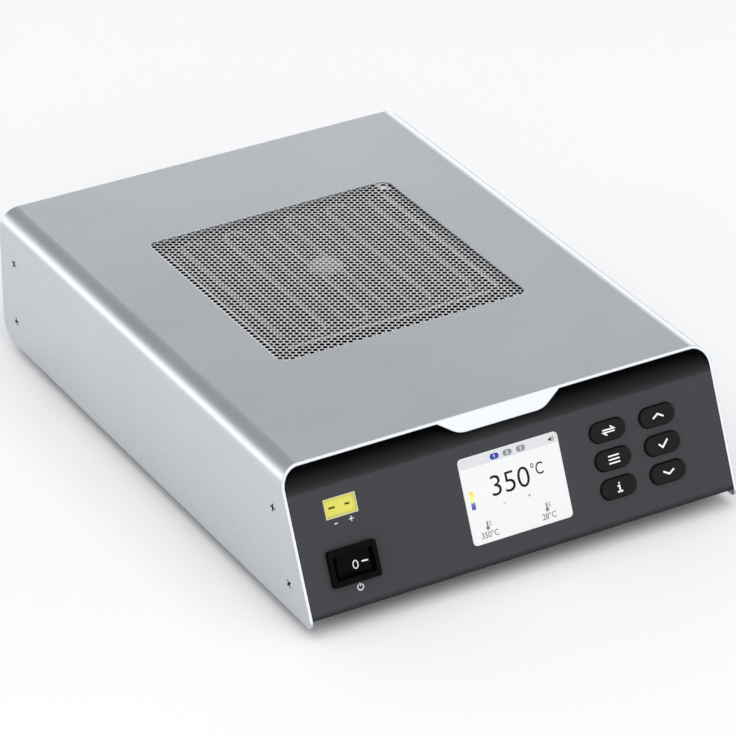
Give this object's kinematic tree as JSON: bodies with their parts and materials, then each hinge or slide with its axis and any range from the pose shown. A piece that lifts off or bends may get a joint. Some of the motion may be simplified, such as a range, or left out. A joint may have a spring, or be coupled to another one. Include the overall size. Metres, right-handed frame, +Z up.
{
  "type": "circuit board preheater",
  "caption": "Low bench heater with a bent metal cover, a perforated heater window and a leaning dark panel with a display, oval keys, a rocker switch and a probe socket.",
  "frame": {"origin": "middle of the bounding box on the surface that the feet stand on", "axes": "+X to the right seen from the front, +Y to the rear, +Z up"},
  "size_m": [0.215, 0.2926, 0.07],
  "materials": {
    "cover_aluminium": "satin bead-blasted anodising",
    "panel_plastic": "fine grain",
    "dark_sheet": "fine textured paint",
    "screw_steel": "bright nickel",
    "foot_rubber": "matt",
    "guard_steel": "satin",
    "heater_ceramic": "matt",
    "sensor_steel": "polished",
    "fibre_board": "fibrous",
    "tray_steel": "bright",
    "porcelain": "glazed",
    "board_green": "solder mask",
    "component_black": "moulded",
    "heatsink_aluminium": "extruded",
    "display_face": "glossy",
    "key_plastic": "satin",
    "switch_plastic": "glossy",
    "terminal_brass": "plain",
    "socket_plastic": "moulded",
    "contact_metal": "bright"
  },
  "bodies": {
    "base": {"top_cover": "cover_aluminium", "front_panel": "panel_plastic", "rear_panel": "dark_sheet", "base_plate": "dark_sheet", "cover_screws": "screw_steel", "base_screws": "screw_steel", "rubber_feet": "foot_rubber", "foot_screws": "screw_steel", "heater_guard": "guard_steel", "guard_screw": "screw_steel", "ceramic_heater": "heater_ceramic", "heat_sensor": "sensor_steel", "insulation_board": "fibre_board", "reflector_tray": "tray_steel", "tray_posts": "screw_steel", "tray_screws": "screw_steel", "terminal_block": "porcelain", "control_board": "board_green", "board_pillars": "screw_steel", "board_screws": "screw_steel", "board_components": "component_black", "power_supply": "component_black", "triac_heatsink": "heatsink_aluminium", "power_triac": "component_black", "panel_board": "board_green", "panel_board_screws": "screw_steel", "tact_switches": "component_black", "display_module": "component_black", "display_window": "display_face", "power_switch": "switch_plastic", "switch_terminals": "terminal_brass", "thermocouple_socket": "socket_plastic", "socket_contacts": "contact_metal", "mains_inlet": "switch_plastic", "inlet_pins": "contact_metal", "inlet_screws": "screw_steel"},
    "swap_key_body": {"key_swap": "key_plastic"},
    "menu_key_body": {"key_menu": "key_plastic"},
    "info_key_body": {"key_info": "key_plastic"},
    "up_key_body": {"key_up": "key_plastic"},
    "ok_key_body": {"key_ok": "key_plastic"},
    "down_key_body": {"key_down": "key_plastic"},
    "rocker_body": {"power_rocker": "switch_plastic"}
  },
  "joints": [
    {"name": "swap_key_press", "type": "slide", "parent": "base", "child": "swap_key_body", "axis": [0, 0.9135, -0.4067], "range_m": [0, 0.0008], "stiffness_N_per_m": 1500},
    {"name": "menu_key_press", "type": "slide", "parent": "base", "child": "menu_key_body", "axis": [0, 0.9135, -0.4067], "range_m": [0, 0.0008], "stiffness_N_per_m": 1500},
    {"name": "info_key_press", "type": "slide", "parent": "base", "child": "info_key_body", "axis": [0, 0.9135, -0.4067], "range_m": [0, 0.0008], "stiffness_N_per_m": 1500},
    {"name": "up_key_press", "type": "slide", "parent": "base", "child": "up_key_body", "axis": [0, 0.9135, -0.4067], "range_m": [0, 0.0008], "stiffness_N_per_m": 1500},
    {"name": "ok_key_press", "type": "slide", "parent": "base", "child": "ok_key_body", "axis": [0, 0.9135, -0.4067], "range_m": [0, 0.0008], "stiffness_N_per_m": 1500},
    {"name": "down_key_press", "type": "slide", "parent": "base", "child": "down_key_body", "axis": [0, 0.9135, -0.4067], "range_m": [0, 0.0008], "stiffness_N_per_m": 1500},
    {"name": "power_rocker_tilt", "type": "hinge", "parent": "base", "child": "rocker_body", "pos_m": [-0.0826, -0.13414, 0.02427], "axis": [0, 0.4067, 0.9135], "range_deg": [-12, 0]}
  ]
}
